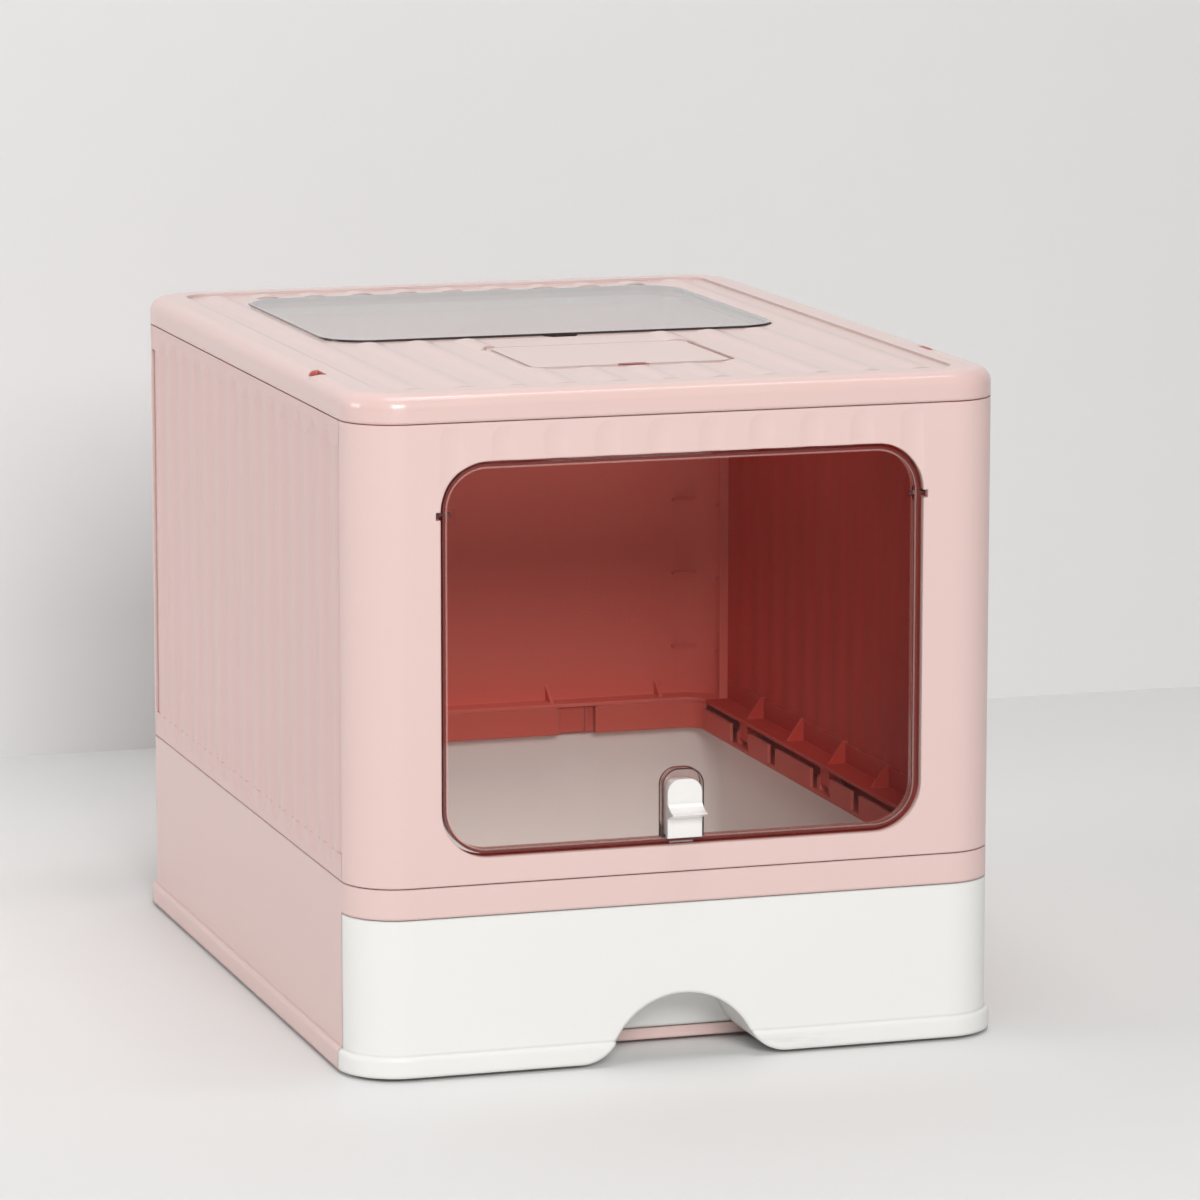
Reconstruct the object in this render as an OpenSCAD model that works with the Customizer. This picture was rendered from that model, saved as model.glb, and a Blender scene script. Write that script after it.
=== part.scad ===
// Enclosed litter box with a pull-out drawer, folding walls, a swing door and a lid with a window.
// +X is the right side, -Y the front, +Z up. The origin is on the floor under the middle of the box.

/* [Overall] */
// Width over the side panels
box_w = 386; // [370:1:410]
// Depth over the front and rear panels
box_d = 512; // [500:1:540]
// Radius of the upright corners
corner_r = 31; // [29:0.5:34]
// Wall of the outer mouldings
wall = 2.2; // [2:0.1:2.5]
// Seam left between neighbouring mouldings
seam = 0.6; // [0.5:0.05:0.8]

/* [Base] */
// Height of the seam where the panels stand on the base
base_h = 111; // [106:1:125]
// Height of the bar that closes the base over the drawer
bar_h = 18; // [17:0.5:20]
// Height of the flared foot of the walls
flare_h = 12; // [9:0.5:14]
// How far the flared foot stands out
flare_out = 2.8; // [2.4:0.1:3.2]
// Distance from the outside to the inner skirt
skirt_in = 20; // [19:0.5:22]
// Depth of the drawer's hollow front, ahead of the base floor
front_box_d = 45; // [40:1:50]
// Height of the lip along the front of the base floor
lip_h = 6.5; // [5:0.5:8]
// Height of the rubber feet
foot_h = 2.5; // [2:0.1:4]
// Radius of the rubber feet
foot_r = 9; // [7:0.5:12]

/* [Drawer] */
// Gap between the tray and the side walls of the base
tray_gap = 2.8; // [2:0.1:4]
// Gap between the tray rim and the deck above it
tray_head = 1.5; // [1:0.1:3]
// Height of the arched finger opening
arch_h = 37.5; // [34:0.5:42]
// Radius of the arch
arch_r = 45; // [42:0.5:48]
// Radius of the feet of the arch
arch_foot_r = 24; // [20:0.5:26]

/* [Panels] */
// Height of the folding panels
panel_h = 262.5; // [255:0.5:280]
// Distance between two ribs of the wavy walls
rib_pitch = 30.2; // [24:0.1:36]
// Depth of the waves
rib_depth = 1.6; // [1:0.1:2]
// Distance from the outside to the panel hinge line
hinge_in = 13; // [12.5:0.1:13.5]
// Distance from the base seam down to the panel hinge line
hinge_drop = 10; // [9.5:0.1:10.5]
// Distance between two hinge stations
station_pitch = 154; // [140:1:160]
// Length of a hinge knuckle
knuckle_l = 14; // [10:0.5:18]
// Radius of a hinge knuckle
knuckle_r = 4; // [3.5:0.1:4.2]
// Radius of the panel hinge pins
pin_r = 1.5; // [1.2:0.1:1.8]

/* [Door] */
// Width of the front panel beside the door opening
door_side = 50; // [48:0.5:56]
// Height of the door opening
door_h = 225; // [215:1:228]
// Height of the door sill above the base seam
sill_h = 15; // [14:0.5:18]
// Corner radius of the door opening
door_r = 28; // [22:1:34]
// Gap round the door
door_gap = 2; // [1.6:0.1:2.4]
// Thickness of the door sheet
door_t = 2.6; // [2.2:0.1:3]
// Distance from the top of the opening down to the door pivots
pivot_drop = 30; // [28:0.5:38]
// Width of the latch guide
guide_w = 25; // [22:0.5:30]
// Height of the latch guide
guide_h = 40; // [38:0.5:50]
// Height of the latch slider
slider_h = 34; // [30:0.5:35]
// How far the slider stands out of the door
slider_out = 4; // [3:0.1:5]
// How far the thumb tab stands out of the slider
tab_out = 9.6; // [6:0.1:10]

/* [Lid] */
// Height of the lid
lid_h = 16.5; // [15.5:0.5:20]
// Radius of the lid's top edge
lid_edge_r = 9; // [7:0.5:10]
// Depth of the ribbed field below the rim of the lid
field_drop = 1.5; // [1:0.1:2]
// Width of the rim around the field
rim_w = 22; // [20:0.5:26]
// Height of the ribs on the lid
lid_rib_h = 1.1; // [0.8:0.1:1.3]
// Width of the lid beside the window
window_side = 51.5; // [49:0.5:56]
// Length of the window, front to back
window_l = 219; // [200:1:222]
// Distance from the middle of the lid back to the middle of the window
window_y = 93; // [90:1:98]
// Corner radius of the window
window_r = 28; // [20:1:34]
// Width of the deodoriser hatch
hatch_w = 124; // [110:1:130]
// Length of the deodoriser hatch, front to back
hatch_l = 100; // [90:1:102]
// Distance from the middle of the lid forward to the middle of the hatch
hatch_y = 113; // [110:1:116]
// Corner radius of the deodoriser hatch
hatch_r = 9; // [8:0.5:12]
// Depth of the deodoriser box under the lid
cup_h = 22; // [14:1:26]
// Thickness of the two flaps in the lid
flap_t = 2; // [1.8:0.1:2.4]
// Distance from the rear edge of the window forward to its pivots
window_pivot = 33; // [30:0.5:40]
// Distance from the rear edge of the hatch forward to its pivots
hatch_pivot = 13; // [11:0.5:16]

/* [Hidden] */
$fn = 64;

e = 0.01;
pin_play = 0.05;          // radial play of a pin in its hole
slide_gap = 0.3;          // gap between parts that slide on each other

half_w = box_w / 2;
half_d = box_d / 2;
door_w = box_w - 2 * door_side;
window_w = box_w - 2 * window_side;
door_back = 2.8;          // the door sits a little behind the panel face
tab_front = slider_out + tab_out - door_back;
mid_y = (tab_front - flare_out) / 2;   // puts the origin under the middle, thumb tab included
seam_y = half_d - corner_r;   // the end panels reach round the corners to here
front_y = -half_d;

deck_z = base_h - bar_h;      // underside of the deck that carries the panels
deck_top = deck_z + wall;
skirt_x = half_w - skirt_in;
skirt_y = half_d - skirt_in;
skirt_r = corner_r - skirt_in;
floor_front = front_y + front_box_d;
floor_top = foot_h + wall;
lip_top = foot_h + lip_h;

hinge_x = half_w - hinge_in;
hinge_z = base_h - hinge_drop;
stations = [-station_pitch, 0, station_pitch];
lug_l = 6;
lug_gap = 0.4;
flange_x = skirt_x + 1;       // inner edge of the panels' bottom flange
flange_y = skirt_y + 1;
fold_skirt_z = hinge_z + 6;   // side skirts stay below the sweep of the folding flange
pocket_l = 36;                // skirt pocket at each hinge station

lid_z = base_h + panel_h;
field_z = lid_z + lid_h - field_drop;
seat_z = field_z - flap_t - slide_gap;     // ledge under the flaps
ledge_t = 2.6;
ledge_w = 7;
cavity_h = lid_h - field_drop - wall;

tray_x = half_w - wall - tray_gap;
tray_back = half_d - wall - tray_gap;
tray_bottom = lip_top + 0.5;
tray_top = deck_z - tray_head;
tray_r = corner_r - wall - tray_gap;

door_z = base_h + sill_h + door_h / 2;     // middle of the door opening
sill_z = base_h + sill_h;
pivot_z = sill_z + door_h - pivot_drop;
door_front = front_y + door_back;
pivot_y = door_front + 3.7;
frame_t = 2;                               // flange round the door opening
frame_d = 12;
door_rim_d = 7.2;
door_foot = 2;                             // band of the door under the latch
latch_z = sill_z + door_gap + door_foot;   // bottom of the latch
guide_t = 1;

// ---------- shared shapes ----------

module rounded_rect(w, d, r) {
  square([w - 2 * r, d], center = true);
  square([w, d - 2 * r], center = true);
  for (x = [-1, 1], y = [-1, 1])
    translate([x * (w / 2 - r), y * (d / 2 - r)]) circle(r);
}

module ring(w, d, r, t) {
  difference() {
    rounded_rect(w, d, r);
    rounded_rect(w - 2 * t, d - 2 * t, r - t);
  }
}

// Sweeps an upright profile round a rounded rectangle, with x = 0 on its outline
module around(w, d, r) {
  for (s = [0, 180]) {
    rotate([0, 0, s])
      translate([w / 2, 0, 0]) rotate([90, 0, 0]) linear_extrude(d - 2 * r, center = true) children();
    rotate([0, 0, s + 90])
      translate([d / 2, 0, 0]) rotate([90, 0, 0]) linear_extrude(w - 2 * r, center = true) children();
  }
  for (a = [0 : 90 : 270])
    translate([(a == 0 || a == 270 ? 1 : -1) * (w / 2 - r), (a < 180 ? 1 : -1) * (d / 2 - r), 0])
      rotate([0, 0, a]) rotate_extrude(angle = 90) translate([r, 0]) children();
}

// Half section of a block with one rounded top edge
module edge_section(h, edge, depth) {
  translate([-depth, 0]) square([depth, h - edge]);
  translate([-depth, 0]) square([depth - edge, h]);
  translate([-edge, h - edge]) intersection() {
    circle(edge);
    square(edge);
  }
}

// Rounded block with its top edge rounded all the way round
module soft_block(w, d, r, h, edge) {
  around(w, d, r) edge_section(h, edge, r);
  linear_extrude(h) square([w - 2 * r, d - 2 * r], center = true);
}

// Outer walls of base and drawer: upright, with the flared foot
module foot_walls(top) {
  difference() {
    union() {
      translate([0, 0, foot_h]) linear_extrude(top - foot_h) rounded_rect(box_w, box_d, corner_r);
      translate([0, 0, foot_h])
        soft_block(box_w + 2 * flare_out, box_d + 2 * flare_out, corner_r + flare_out, flare_h, flare_out);
    }
    translate([0, 0, foot_h - 1]) linear_extrude(top)
      rounded_rect(box_w - 2 * wall, box_d - 2 * wall, corner_r - wall);
  }
}

// The space that the drawer front takes, corners included
module front_zone(z0, z1, back) {
  translate([-box_w, -box_d, z0]) cube([2 * box_w, box_d + back, z1 - z0]);
}

module pin_x(len, r) {
  rotate([0, 90, 0]) cylinder(r = r, h = len, center = true);
}

module pin_y(len, r) {
  rotate([90, 0, 0]) cylinder(r = r, h = len, center = true);
}

module prism_x(len, points) {
  rotate([90, 0, 90]) linear_extrude(len, center = true) polygon(points);
}

// ---------- base ----------

module hinge_lug() {
  translate([-knuckle_r, -lug_l / 2, deck_top - hinge_z - e])
    cube([2 * knuckle_r, lug_l, hinge_z - deck_top + e]);
  pin_y(lug_l, knuckle_r);
}

module base_skirt() {
  difference() {
    translate([0, 0, deck_z]) linear_extrude(base_h - deck_z)
      ring(2 * (skirt_x + wall), 2 * (skirt_y + wall), skirt_r + wall, wall);
    for (s = [-1, 1]) {
      // lower along the sides, where the panels fold in over it
      translate([s * half_w, 0, fold_skirt_z + 50])
        cube([2 * (half_w - skirt_x + skirt_r), 2 * seam_y, 100], center = true);
      // pockets for the knuckles, and a gap ahead of each
      for (y = stations) {
        translate([s * skirt_x, y, deck_top + 50]) cube([20, pocket_l, 100], center = true);
        if (y - 63 > -seam_y)
          translate([s * skirt_x, y - 63, deck_top + 50]) cube([20, 14, 100], center = true);
      }
    }
    // set-back snap recesses at the rear
    for (s = [-1, 1]) translate([s * snap_x, skirt_y, deck_z]) cube([snap_w, 20, 100], center = true);
  }
}

snap_x = 90;
snap_w = 27;
snap_set = 6;

module base_snaps() {
  snap_h = base_h - seam - deck_z;
  for (s = [-1, 1]) translate([s * snap_x, 0, 0]) {
    translate([-snap_w / 2, skirt_y + snap_set, deck_z]) cube([snap_w, wall, snap_h]);
    for (x = [-1, 1])
      translate([x * snap_w / 2 - wall / 2, skirt_y, deck_z]) cube([wall, snap_set + wall, snap_h]);
    translate([s * (snap_w / 2 - 6) - 1, skirt_y + snap_set - 2.5, deck_z]) cube([2, 3, snap_h]);
  }
}

module base_frame() {
  color([0.90, 0.78, 0.76]) translate([0, mid_y, 0]) difference() {
    union() {
      difference() {
        foot_walls(base_h - seam);
        front_zone(0, deck_z, -seam_y + seam / 2);
      }
      // deck that closes the walls to the skirt
      difference() {
        translate([0, 0, deck_z]) linear_extrude(wall) difference() {
          rounded_rect(box_w - wall, box_d - wall, corner_r - wall / 2);
          rounded_rect(2 * skirt_x, 2 * skirt_y, skirt_r);
        }
        for (s = [-1, 1])
          translate([s * snap_x, skirt_y + snap_set - 10, deck_z]) cube([snap_w, 20, 20], center = true);
      }
      base_skirt();
      base_snaps();
      // floor with its front lip and the two runners of the drawer
      translate([0, 0, foot_h]) linear_extrude(wall) intersection() {
        rounded_rect(box_w - wall, box_d - wall, corner_r - wall / 2);
        translate([-half_w, floor_front]) square([box_w, box_d]);
      }
      translate([-half_w + wall / 2, floor_front, foot_h]) cube([box_w - wall, wall, lip_h]);
      for (x = [-1, 1]) translate([x * tray_x * 0.8 - 4, floor_front, foot_h])
        cube([8, seam_y - floor_front, tray_bottom - slide_gap - foot_h]);
      for (s = [-1, 1], y = stations, k = [-1, 1])
        translate([s * hinge_x, y + k * (knuckle_l / 2 + lug_gap + lug_l / 2), hinge_z]) hinge_lug();
    }
    for (s = [-1, 1], y = stations)
      translate([s * hinge_x, y, hinge_z]) pin_y(pin_len + 0.4, pin_r + pin_play);
  }
}

pin_len = knuckle_l + 2 * (lug_gap + lug_l);

module panel_pin(side, k) {
  color([0.72, 0.72, 0.74]) translate([side * hinge_x, mid_y + stations[k], hinge_z]) pin_y(pin_len, pin_r);
}

foot_x = half_w - 45;
foot_y = seam_y - 35;

module foot(x, y) {
  color([0.12, 0.12, 0.12]) translate([x * foot_x, mid_y + y * foot_y, 0]) {
    cylinder(r = foot_r, h = foot_h);
    cylinder(r = foot_r + 1.2, h = foot_h * 0.4);
  }
}

// ---------- drawer ----------

arch_cz = foot_h + arch_h - arch_r;
arch_foot_z = foot_h + arch_foot_r;
arch_foot_x = sqrt(pow(arch_r + arch_foot_r, 2) - pow(arch_foot_z - arch_cz, 2));

// Bell arch: a round crown that runs out into two round feet, grown by t all round
module arch_shape(t) {
  meet_z = arch_cz + (arch_foot_z - arch_cz) * arch_r / (arch_r + arch_foot_r);
  difference() {
    union() {
      intersection() {
        translate([0, arch_cz]) circle(arch_r + t);
        translate([-arch_r - t, meet_z]) square([2 * (arch_r + t), arch_r * 2]);
      }
      translate([-arch_foot_x, foot_h - 5]) square([2 * arch_foot_x, meet_z - foot_h + 5]);
    }
    for (x = [-1, 1]) translate([x * arch_foot_x, arch_foot_z]) circle(arch_foot_r - t);
    for (x = [-1, 1]) translate([x * (arch_foot_x + 10), foot_h - 6]) square([20, 12], center = true);
  }
}

module drawer() {
  tray_front = floor_front + 1;
  tray_len = tray_back - tray_front;
  color([0.93, 0.93, 0.92]) translate([0, mid_y, 0]) difference() {
    union() {
      // tray
      translate([0, (tray_back + tray_front) / 2, tray_bottom]) difference() {
        linear_extrude(tray_top - tray_bottom) union() {
          rounded_rect(2 * tray_x, tray_len, tray_r);
          translate([-tray_x, -tray_len / 2]) square([2 * tray_x, tray_r * 2]);
        }
        translate([0, 0, wall]) linear_extrude(tray_top) union() {
          rounded_rect(2 * (tray_x - wall), tray_len - 2 * wall, tray_r - wall);
          translate([-tray_x + wall, -tray_len / 2 + wall]) square([2 * (tray_x - wall), tray_r * 2]);
        }
      }
      // hollow front that wraps both corners
      intersection() {
        foot_walls(deck_z - seam);
        front_zone(0, deck_z, -seam_y - seam / 2);
      }
      // top of the hollow front
      translate([0, 0, deck_z - seam - wall]) linear_extrude(wall) intersection() {
        rounded_rect(box_w - wall, box_d - wall, corner_r - wall / 2);
        translate([-tray_x, front_y]) square([2 * tray_x, front_box_d + wall]);
      }
      // cheeks between the front and the tray
      for (s = [-1, 1]) translate([s * (tray_x - wall / 2) - wall / 2, -seam_y - 14, tray_bottom])
        cube([wall, 14 + seam_y + tray_front + wall, deck_z - seam - tray_bottom]);
      // liner of the finger opening
      intersection() {
        translate([0, front_y + wall / 2, 0]) rotate([90, 0, 0])
          translate([0, 0, -(tray_front - front_y)]) linear_extrude(tray_front - front_y) arch_shape(wall);
        translate([-half_w, front_y + wall / 2, foot_h]) cube([box_w, tray_front - front_y, deck_z]);
      }
    }
    // finger opening, through the front only
    translate([0, front_y - flare_out - 1, 0]) rotate([90, 0, 0])
      translate([0, 0, -(tray_front - front_y + flare_out + 1)])
        linear_extrude(tray_front - front_y + flare_out + 1) arch_shape(0);
    // room for the lip of the base floor
    translate([-box_w, floor_front - 0.6, -1]) cube([2 * box_w, box_d, tray_bottom + 1]);
  }
}

// ---------- wavy walls ----------

// Constant wall that waves about the panel face: x = 0 is the crest, ribs along y
module wave_section(half) {
  n = ceil(24 * half / rib_pitch);
  points = [for (i = [0 : n]) let(y = -half + 2 * half * i / n)
    [rib_depth / 2 * (cos(360 * y / rib_pitch) - 1), y]];
  polygon(concat(points, [for (i = [n : -1 : 0]) points[i] - [wall, 0]]));
}

band_h = 15;       // band above and below the wavy part
flute_r = 28.5;    // radius across a valley of the waves

module side_gusset() {
  foot = half_w - wall - e;
  polygon([[flange_x + 4, -e], [foot, -e], [foot, 14], [half_w - wall - 3, 14]]);
}

// Side panel in its place on the right
module side_panel() {
  z0 = base_h;
  z1 = lid_z - seam - 0.1;
  half = seam_y - seam / 2;
  difference() {
    union() {
      translate([half_w, 0, z0 + band_h - e])
        linear_extrude(z1 - z0 - 2 * band_h + 2 * e) wave_section(half);
      for (z = [z0, z1 - band_h])
        translate([half_w - wall - rib_depth, -half, z]) cube([wall + rib_depth, 2 * half, band_h]);
      // bottom flange and its gussets
      translate([flange_x, -half, z0]) cube([half_w - wall - flange_x, 2 * half, wall]);
      for (y = [-2 : 2])
        translate([0, y * station_pitch / 2, z0 + wall]) rotate([90, 0, 0])
          linear_extrude(wall, center = true) side_gusset();
      for (y = stations) translate([hinge_x, y, hinge_z]) {
        translate([-knuckle_r, -knuckle_l / 2, 0]) cube([2 * knuckle_r, knuckle_l, z0 - hinge_z + e]);
        pin_y(knuckle_l, knuckle_r);
      }
    }
    for (y = stations) translate([hinge_x, y, hinge_z]) pin_y(knuckle_l + 1, pin_r + pin_play);
    // each valley runs out round in the bands
    last = ceil(half / rib_pitch);
    for (i = [-last : last - 1], z = [z0 + band_h, z1 - band_h])
      if (abs(i + 0.5) * rib_pitch + 10 < half)
        translate([half_w + flute_r - rib_depth, (i + 0.5) * rib_pitch, z]) sphere(flute_r);
  }
}

module left_panel() {
  color([0.86, 0.74, 0.72]) translate([0, mid_y, 0]) mirror([1, 0, 0]) side_panel();
}

module right_panel() {
  color([0.86, 0.74, 0.72]) translate([0, mid_y, 0]) side_panel();
}

ledge_levels = [33, 81.5, 130, 178.5, 227];
tongue_y = half_d - wall - 2.6;
tongue_z = lid_z + 7;
tongue_l = box_w - 86;

// End panel in its place at the rear, with the two upright corners
module end_shell() {
  cut_d = 2 * box_d;
  difference() {
    union() {
      translate([0, 0, base_h]) linear_extrude(panel_h - seam) ring(box_w, box_d, corner_r, wall);
      translate([0, 0, base_h]) linear_extrude(wall) difference() {
        rounded_rect(box_w - wall, box_d - wall, corner_r - wall / 2);
        rounded_rect(2 * flange_x, 2 * flange_y, corner_r - half_w + flange_x);
      }
    }
    translate([-box_w, seam_y + seam / 2 - cut_d, 0]) cube([2 * box_w, cut_d, lid_z * 2]);
  }
  for (s = [-1, 1]) {
    // inner lip where the side panel ends
    translate([s * (half_w - wall / 2 - 4) - 4, seam_y + seam / 2, base_h]) cube([8, wall, panel_h - seam]);
    // gussets on the flange
    for (x = s == 1 ? [0, 1, 2] : [1, 2])
      translate([s * x * 74.5, 0, base_h + wall]) rotate([90, 0, 90]) linear_extrude(wall, center = true)
        polygon([[flange_y + 4, -e], [half_d - wall + e, -e], [half_d - wall + e, 10]]);
  }
  // ledges in the corners
  intersection() {
    linear_extrude(lid_z) rounded_rect(box_w - wall, box_d - wall, corner_r - wall / 2);
    for (s = [-1, 1], z = ledge_levels) {
      translate([s * (half_w - 25) - 8, half_d - wall - 5, base_h + z]) cube([16, 20, 1.6]);
      translate([s * (half_w - wall) - 5, seam_y + 4, base_h + z - 3]) cube([10, 16, 1.6]);
    }
  }
  // tongue that locates the lid
  translate([-tongue_l / 2, tongue_y, lid_z - 8]) cube([tongue_l, wall, tongue_z - lid_z + 8]);
  translate([-tongue_l / 2, tongue_y, lid_z - 8]) cube([tongue_l, half_d - wall / 2 - tongue_y, wall]);
}

module grooves(z0, z1, count) {
  // shallow flutes with round ends between the ribs of the end panels
  for (i = [0 : count - 1], s = [-1, 1])
    translate([s * (i + 0.5) * rib_pitch, half_d + flute_r - rib_depth * 0.6, 0]) {
      translate([0, 0, z0 + 7]) cylinder(r = flute_r, h = z1 - z0 - 14);
      for (z = [z0 + 7, z1 - 7]) translate([0, 0, z]) sphere(flute_r);
    }
}

module rear_panel() {
  color([0.90, 0.78, 0.76]) translate([0, mid_y, 0]) difference() {
    end_shell();
    grooves(base_h + 7, lid_z - 6, 5);
  }
}

module door_outline(grow) {
  rounded_rect(door_w + 2 * grow, door_h + 2 * grow, door_r + grow);
}

module front_panel() {
  color([0.90, 0.78, 0.76]) translate([0, mid_y, 0]) difference() {
    union() {
      mirror([0, 1, 0]) difference() {
        end_shell();
        grooves(sill_z + door_h - 20, lid_z - 3, 5);
      }
      // flange round the opening
      translate([0, front_y + wall / 2, door_z]) rotate([-90, 0, 0])
        linear_extrude(frame_d) door_outline(frame_t);
      for (s = [-1, 1])
        translate([s * (door_w / 2 + 4.5), pivot_y - 0.5, pivot_z]) cube([7, 10, 10], center = true);
    }
    translate([0, front_y - 1, door_z]) rotate([-90, 0, 0]) linear_extrude(frame_d + 5) door_outline(0);
    for (s = [-1, 1]) {
      // notch that shows the pivot, and the blind hole behind it
      translate([s * (door_w / 2 + 0.8), pivot_y - 4, pivot_z]) cube([3.6, 9.2, 4.4], center = true);
      translate([s * door_w / 2, pivot_y, pivot_z]) pin_x(2 * pivot_end + 0.4, pin_r + pin_play);
    }
    // slot in the sill for the latch tongue
    translate([0, latch_y + 0.8, sill_z]) cube([tongue_w + 1, 2.6, 8], center = true);
  }
}

pivot_end = 6.5;      // how far a pivot reaches past the edge of the opening
latch_y = door_front + 2.6;
tongue_w = 14;

// ---------- door ----------

// Arch with rounded top corners, standing on z = 0
module latch_outline(w, h, r) {
  translate([-w / 2, 0]) square([w, h - r]);
  translate([-w / 2 + r, 0]) square([w - 2 * r, h]);
  for (x = [-1, 1]) translate([x * (w / 2 - r), h - r]) circle(r);
}

module stand_front(y, t) {
  translate([0, y + t, 0]) rotate([90, 0, 0]) linear_extrude(t) children();
}

module door() {
  color([0.62, 0.36, 0.34, 0.55]) translate([0, mid_y, 0]) difference() {
    union() {
      translate([0, door_front, door_z]) rotate([-90, 0, 0]) linear_extrude(door_t) door_outline(-door_gap);
      translate([0, door_front, door_z]) rotate([-90, 0, 0]) linear_extrude(door_rim_d) difference() {
        door_outline(-door_gap);
        door_outline(-door_gap - 2.2);
      }
      for (s = [-1, 1]) translate([s * (door_w / 2 - door_gap - 4), pivot_y, pivot_z]) {
        translate([0, -1.5, 0]) cube([8, 5, 8.4], center = true);
        pin_x(8, 4.2);
      }
    }
    translate([0, 0, latch_z])
      stand_front(door_front - 1, door_rim_d + 6) latch_outline(guide_w, guide_h, 10);
    // slot for the latch tongue
    translate([0, latch_y + 0.8, latch_z - door_foot])
      cube([tongue_w + 1, 2.6, 2 * door_foot + 1], center = true);
    for (s = [-1, 1]) translate([s * door_w / 2, pivot_y, pivot_z]) pin_x(15, pin_r + pin_play);
  }
}

module door_pin(side) {
  len = pivot_end + 7;
  color([0.20, 0.12, 0.12])
    translate([side * (door_w / 2 + pivot_end - len / 2), mid_y + pivot_y, pivot_z]) pin_x(len, pin_r);
}

guide_back_y = door_front + 4.8;

module latch_guide() {
  color([0.80, 0.66, 0.65, 0.6]) translate([0, mid_y, latch_z]) difference() {
    stand_front(door_front - 0.4, guide_back_y + guide_t - door_front + 0.4)
      latch_outline(guide_w, guide_h, 10);
    stand_front(door_front - 1, guide_back_y - door_front + 1) translate([0, -1])
      latch_outline(guide_w - 2 * guide_t, guide_h + 1 - guide_t, 10 - guide_t);
    translate([-stem_w / 2 - slide_gap, guide_back_y - 1, stem_z - stem_h / 2 - 2.2])
      cube([stem_w + 2 * slide_gap, 5, stem_h + 6.5]);
  }
}

stem_w = 6;
stem_h = 8;
stem_z = 16;          // height of the stem above the bottom of the slider
slider_w = guide_w - 2 * guide_t - 2.4;
latch_drop = 1.5;     // how far the slider goes down to lock
slider_front = door_front - slider_out;

// Side view of the thumb tab: flat underneath, hollow on top
module tab_section() {
  hollow_r = 14;
  difference() {
    polygon([[e, 11.5], [-tab_out, 15.1], [-tab_out, 15.9], [e, 20.5]]);
    translate([-tab_out - 0.8, 15.9 + hollow_r]) circle(hollow_r);
  }
}

module latch_slider() {
  color([0.95, 0.95, 0.94]) translate([0, mid_y, latch_z]) {
    // proud cap
    stand_front(slider_front, slider_out - slide_gap)
      translate([0, 0.3]) latch_outline(slider_w, slider_h, 8);
    // body inside the guide, clear of the door's band when it goes down
    stand_front(slider_front + slider_out - slide_gap - e, guide_back_y - door_front + e)
      translate([0, latch_drop + 0.3]) latch_outline(slider_w, slider_h - latch_drop, 8);
    translate([0, slider_front, 0]) rotate([90, 0, 90])
      linear_extrude(slider_w, center = true) tab_section();
    // tongue that drops into the sill
    translate([-tongue_w / 2, latch_y, -door_foot - latch_drop]) cube([tongue_w, 1.6, 8]);
    translate([-stem_w / 2, guide_back_y - 1, stem_z - stem_h / 2]) cube([stem_w, guide_t + 1.3, stem_h]);
  }
}

module latch_keeper() {
  color([0.95, 0.95, 0.94])
    translate([-7, mid_y + guide_back_y + guide_t + 0.3, latch_z + stem_z - 7]) cube([14, 1.6, 14]);
}

// ---------- lid ----------

module slab(w, l, r, y, z, t) {
  translate([0, y, z]) linear_extrude(t) rounded_rect(w, l, r);
}

window_back = window_y + window_l / 2;
window_axis = window_back - window_pivot;
hatch_back = -hatch_y + hatch_l / 2;
hatch_axis = hatch_back - hatch_pivot;
axis_z = field_z - 2.5;
ear_r = 2.4;
flap_pin_r = 1.2;
flap_z = field_z - flap_t;
flap_pin_in = 7;       // pins reach this far into a flap
flap_pin_out = 6.5;    // and this far past its edge
flap_gap = 1.2;        // seam round the flaps
window_up = 1.2;       // the window sheet stands proud of the field

module flap_pin(side, w, axis_y) {
  len = flap_pin_in + flap_pin_out;
  color([0.72, 0.72, 0.74])
    translate([side * (w / 2 + flap_pin_out - len / 2), mid_y + axis_y, axis_z]) pin_x(len, flap_pin_r);
}

module flap_bores(w, axis_y) {
  for (s = [-1, 1]) translate([s * w / 2, axis_y, axis_z])
    pin_x(2 * flap_pin_in + 0.6, flap_pin_r + pin_play);
}

module flap_ears(w, axis_y) {
  for (s = [-1, 1]) translate([s * (w / 2 - 5), axis_y, axis_z]) {
    pin_x(10, ear_r);
    translate([0, 0, (flap_z - axis_z + ear_r) / 2]) cube([10, 2 * ear_r, 2], center = true);
  }
}

module lid_bosses(w, axis_y) {
  for (s = [-1, 1]) translate([s * (w / 2 + 5.5), axis_y, axis_z - 1]) cube([9, 9, 6], center = true);
}

module lid_opening(w, l, r, y, axis_y) {
  // seat for the flap, with a ledge that ends ahead of the pivots
  slab(w + 2 * flap_gap, l + 2 * flap_gap, r + flap_gap, y, seat_z, 50);
  slab(w - 2 * ledge_w, l - 2 * ledge_w, r - ledge_w, y, lid_z - 1, 50);
  intersection() {
    slab(w + 2 * flap_gap, l + 2 * flap_gap, r + flap_gap, y, lid_z - 1, 50);
    translate([-w, axis_y - 7, 0]) cube([2 * w, l, lid_z * 2]);
  }
  // notches that show the pivots
  for (s = [-1, 1]) translate([s * (w / 2 + 1), axis_y, axis_z + 5]) cube([5, 4.4, 14], center = true);
}

moon_y = front_y + 106;   // half-moon slots by the side edges

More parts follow.
